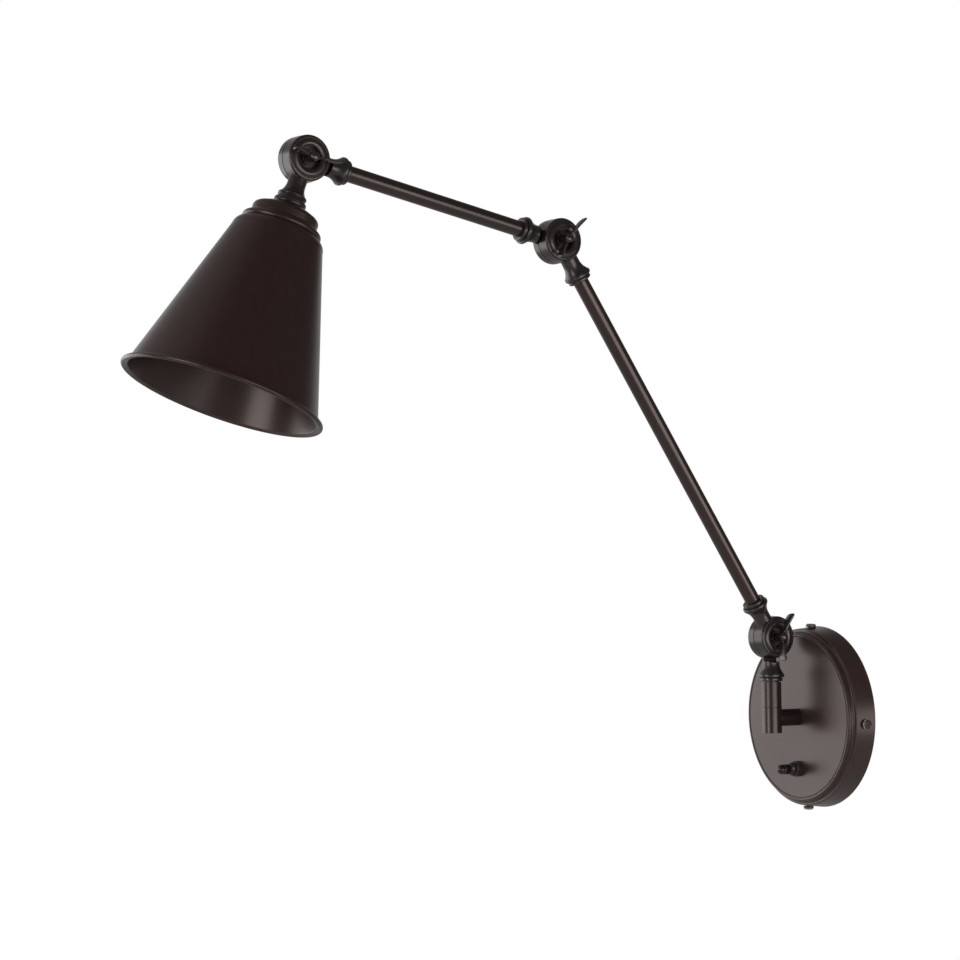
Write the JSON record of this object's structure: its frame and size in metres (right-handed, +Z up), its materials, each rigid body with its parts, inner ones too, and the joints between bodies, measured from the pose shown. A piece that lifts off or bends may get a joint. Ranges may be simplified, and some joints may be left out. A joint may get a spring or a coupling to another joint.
{
  "type": "articulating wall lamp",
  "caption": "Wall lamp with a round canopy, a swivelling base, hinged arms locked by wing screws and a cone shade that tilts.",
  "frame": {"origin": "centre of the mounting plate on the wall, in the plane of the wall", "axes": "+Z up, the lamp stands out of the wall towards -Y and the wall lies at +Y, +X to the right for someone who faces the wall"},
  "size_m": [0.1484, 0.4978, 0.4149],
  "materials": {
    "canopy_finish": "satin oil-rubbed bronze paint on spun steel",
    "casting_finish": "satin oil-rubbed bronze paint on zinc castings",
    "tube_finish": "satin oil-rubbed bronze paint on steel tube",
    "cap_finish": "satin oil-rubbed bronze paint on spun steel",
    "shade_finish": "satin oil-rubbed bronze paint on spun steel",
    "wing_finish": "satin oil-rubbed bronze paint on cast thumb screws",
    "knob_finish": "satin dark bronze plating",
    "screw_finish": "dark bronze screws",
    "ground_screw_finish": "green earth screw",
    "plated_steel": "zinc-plated steel",
    "brass_parts": "machined brass",
    "holder_moulding": "black phenolic moulding",
    "switch_moulding": "black moulded housing",
    "lead_sheath": "black insulated lead",
    "friction_fibre": "dark fibre washer"
  },
  "bodies": {
    "wall_mount": {"canopy_cover": "canopy_finish", "mounting_plate": "plated_steel", "canopy_screws": "screw_finish", "ground_screw": "ground_screw_finish", "post_tube": "casting_finish", "post_washer": "plated_steel", "post_nut": "plated_steel", "fixed_barrel": "casting_finish", "barrel_plug": "casting_finish", "swivel_stud": "brass_parts", "swivel_washer": "plated_steel", "swivel_nut": "brass_parts", "stop_pin": "plated_steel", "post_lead": "lead_sheath", "switch_housing": "switch_moulding", "switch_bushing": "brass_parts", "switch_ring_nut": "knob_finish"},
    "switch_spindle": {"switch_knob": "knob_finish", "switch_shaft": "brass_parts"},
    "swivel": {"swivel_barrel": "casting_finish", "base_back_half": "casting_finish", "base_insert": "brass_parts", "base_friction_washer": "friction_fibre", "swivel_lead": "lead_sheath"},
    "long_arm": {"base_front_half": "casting_finish", "long_arm_tube": "tube_finish", "elbow_front_half": "casting_finish", "long_arm_lead": "lead_sheath", "base_thrust_washer": "friction_fibre", "elbow_thrust_washer": "friction_fibre"},
    "short_arm": {"elbow_back_half": "casting_finish", "short_arm_tube": "tube_finish", "head_back_half": "casting_finish", "elbow_insert": "brass_parts", "head_insert": "brass_parts", "elbow_friction_washer": "friction_fibre", "head_friction_washer": "friction_fibre", "short_arm_lead": "lead_sheath"},
    "head": {"head_front_half": "casting_finish", "neck_collar": "casting_finish", "shade_cap": "cap_finish", "bead_ring": "cap_finish", "shade": "shade_finish", "head_nipple": "brass_parts", "head_nut": "plated_steel", "holder_body": "holder_moulding", "holder_shell": "brass_parts", "holder_insulator": "holder_moulding", "holder_contact": "brass_parts", "shade_nut": "holder_moulding", "head_lead": "lead_sheath", "head_thrust_washer": "friction_fibre"},
    "base_wing": {"base_wing_screw": "wing_finish"},
    "elbow_wing": {"elbow_wing_screw": "wing_finish"},
    "head_wing": {"head_wing_screw": "wing_finish"}
  },
  "joints": [
    {"name": "arm_swivel", "type": "hinge", "parent": "wall_mount", "child": "swivel", "pos_m": [0, -0.0383, 0], "axis": [0, 0, 1], "range_deg": [-94.2, 85.8]},
    {"name": "base_tilt", "type": "hinge", "parent": "swivel", "child": "long_arm", "pos_m": [0.0005, -0.03826, 0.0535], "axis": [-0.9973, -0.0732, 0], "range_deg": [-96, 34]},
    {"name": "elbow_tilt", "type": "hinge", "parent": "long_arm", "child": "short_arm", "pos_m": [0.01291, -0.20724, 0.3047], "axis": [-0.9973, -0.0732, 0], "range_deg": [-60, 155]},
    {"name": "head_tilt", "type": "hinge", "parent": "short_arm", "child": "head", "pos_m": [0.02619, -0.38811, 0.33862], "axis": [-0.9971, -0.0658, 0.0395], "range_deg": [-52, 211]},
    {"name": "base_wing_turn", "type": "hinge", "parent": "swivel", "child": "base_wing", "pos_m": [0.0005, -0.03826, 0.0535], "axis": [0.9973, 0.0732, 0], "range_deg": [-45, 180]},
    {"name": "elbow_wing_turn", "type": "hinge", "parent": "short_arm", "child": "elbow_wing", "pos_m": [0.01291, -0.20724, 0.3047], "axis": [0.9973, 0.0732, 0], "range_deg": [-45, 180]},
    {"name": "head_wing_turn", "type": "hinge", "parent": "short_arm", "child": "head_wing", "pos_m": [0.02619, -0.38811, 0.33862], "axis": [0.9971, 0.0658, -0.0395], "range_deg": [-45, 180]},
    {"name": "switch_turn", "type": "hinge", "parent": "wall_mount", "child": "switch_spindle", "pos_m": [0, -0.0383, -0.0343], "axis": [0, -1, 0], "range_deg": [0, 90]}
  ]
}
